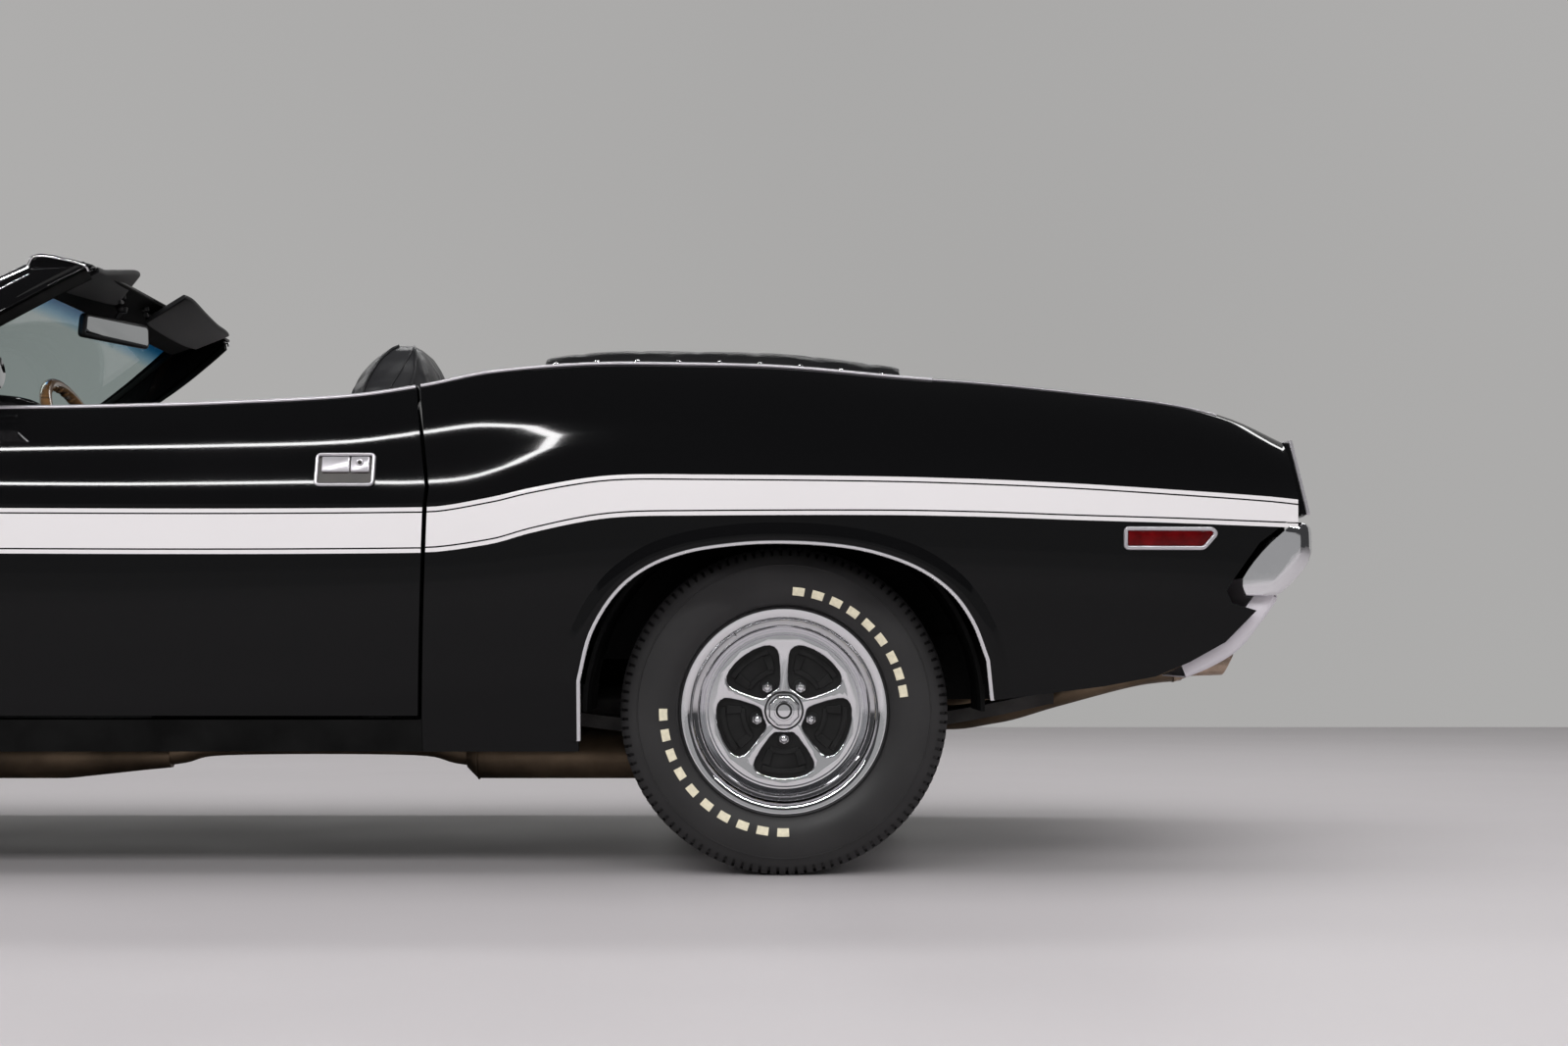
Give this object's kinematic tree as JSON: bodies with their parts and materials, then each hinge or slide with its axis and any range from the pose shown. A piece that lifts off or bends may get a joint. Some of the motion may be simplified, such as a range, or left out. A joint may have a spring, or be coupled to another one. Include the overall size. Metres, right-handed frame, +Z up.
{
  "type": "open two-door muscle car",
  "caption": "Low two-door open car with a long hood, folded top under a cover, chrome bumpers, opening doors, hood and trunk lid, and spoked wheels that roll and steer.",
  "frame": {"origin": "on the floor under the middle of the overall length and width", "axes": "+X forward, +Y to the car's left, +Z up"},
  "size_m": [4.8598, 1.97, 1.313],
  "materials": {
    "body_paint": "gloss",
    "under_paint": "matte",
    "chrome": "polished",
    "grille_black": "matte",
    "lamp_glass": "clear",
    "lamp_red": "gloss",
    "screen_glass": "clear",
    "dash_vinyl": "matte",
    "seat_vinyl": "satin",
    "boot_vinyl": "satin",
    "wood_rim": "satin",
    "engine_iron": "matte",
    "axle_iron": "matte",
    "spring_steel": "matte",
    "exhaust_steel": "satin",
    "tank_steel": "satin",
    "core_aluminium": "satin",
    "wheel_chrome": "polished",
    "tyre_rubber": "matte",
    "marker_red": "gloss"
  },
  "bodies": {
    "body": {"underbody": "under_paint", "cowl_and_firewall": "body_paint", "deck_panel": "body_paint", "left_fender": "body_paint", "right_fender": "body_paint", "left_quarter_panel": "body_paint", "right_quarter_panel": "body_paint", "wheelhouses": "under_paint", "radiator_support": "under_paint", "radiator": "core_aluminium", "grille_surround": "body_paint", "grille": "grille_black", "headlamps": "lamp_glass", "front_bumper": "chrome", "front_valance": "body_paint", "rear_bumper": "chrome", "rear_valance": "body_paint", "tail_panel": "body_paint", "tail_lamps": "lamp_red", "windshield_frame": "chrome", "windshield": "screen_glass", "dashboard": "dash_vinyl", "front_seats": "seat_vinyl", "rear_seat": "seat_vinyl", "rear_side_trims": "dash_vinyl", "console": "dash_vinyl", "steering_wheel": "wood_rim", "visors_and_mirror": "dash_vinyl", "boot_cover": "boot_vinyl", "engine": "engine_iron", "front_suspension": "axle_iron", "rear_axle": "axle_iron", "leaf_springs": "spring_steel", "driveshaft": "spring_steel", "exhaust": "exhaust_steel", "fuel_tank": "tank_steel", "side_markers": "marker_red"},
    "left_door": {"left_door": "body_paint", "left_door_handle_and_mirror": "chrome"},
    "right_door": {"right_door": "body_paint", "right_door_handle_and_mirror": "chrome"},
    "hood": {"hood": "body_paint"},
    "trunk_lid": {"trunk_lid": "body_paint"},
    "left_knuckle": {"left_knuckle": "axle_iron"},
    "right_knuckle": {"right_knuckle": "axle_iron"},
    "left_front_wheel": {"left_front_rim": "wheel_chrome", "left_front_tyre": "tyre_rubber"},
    "right_front_wheel": {"right_front_rim": "wheel_chrome", "right_front_tyre": "tyre_rubber"},
    "left_rear_wheel": {"left_rear_rim": "wheel_chrome", "left_rear_tyre": "tyre_rubber"},
    "right_rear_wheel": {"right_rear_rim": "wheel_chrome", "right_rear_tyre": "tyre_rubber"}
  },
  "joints": [
    {"name": "left_steer", "type": "hinge", "parent": "body", "child": "left_knuckle", "pos_m": [1.474, 0.645, 0.327], "axis": [0, 0, 1], "range_deg": [-30, 30]},
    {"name": "left_front_wheel_spin", "type": "hinge", "parent": "left_knuckle", "child": "left_front_wheel", "pos_m": [1.474, 0.758, 0.327], "axis": [0, 1, 0], "continuous": true},
    {"name": "left_rear_wheel_spin", "type": "hinge", "parent": "body", "child": "left_rear_wheel", "pos_m": [-1.32, 0.771, 0.327], "axis": [0, 1, 0], "continuous": true},
    {"name": "left_door_hinge", "type": "hinge", "parent": "body", "child": "left_door", "pos_m": [0.644, 0.921, 0.58], "axis": [0, 0, -1], "range_deg": [0, 65]},
    {"name": "right_steer", "type": "hinge", "parent": "body", "child": "right_knuckle", "pos_m": [1.474, -0.645, 0.327], "axis": [0, 0, 1], "range_deg": [-30, 30]},
    {"name": "right_front_wheel_spin", "type": "hinge", "parent": "right_knuckle", "child": "right_front_wheel", "pos_m": [1.474, -0.758, 0.327], "axis": [0, 1, 0], "continuous": true},
    {"name": "right_rear_wheel_spin", "type": "hinge", "parent": "body", "child": "right_rear_wheel", "pos_m": [-1.32, -0.771, 0.327], "axis": [0, 1, 0], "continuous": true},
    {"name": "right_door_hinge", "type": "hinge", "parent": "body", "child": "right_door", "pos_m": [0.644, -0.921, 0.58], "axis": [0, 0, 1], "range_deg": [0, 65]},
    {"name": "hood_hinge", "type": "hinge", "parent": "body", "child": "hood", "pos_m": [0.928, 0, 0.94811], "axis": [0, -1, 0], "range_deg": [0, 50]},
    {"name": "trunk_lid_hinge", "type": "hinge", "parent": "body", "child": "trunk_lid", "pos_m": [-1.782, 0, 0.99539], "axis": [0, 1, 0], "range_deg": [0, 70]}
  ],
  "couplings": [
    {"joint": "right_steer", "follows": "left_steer", "ratio": 1}
  ]
}
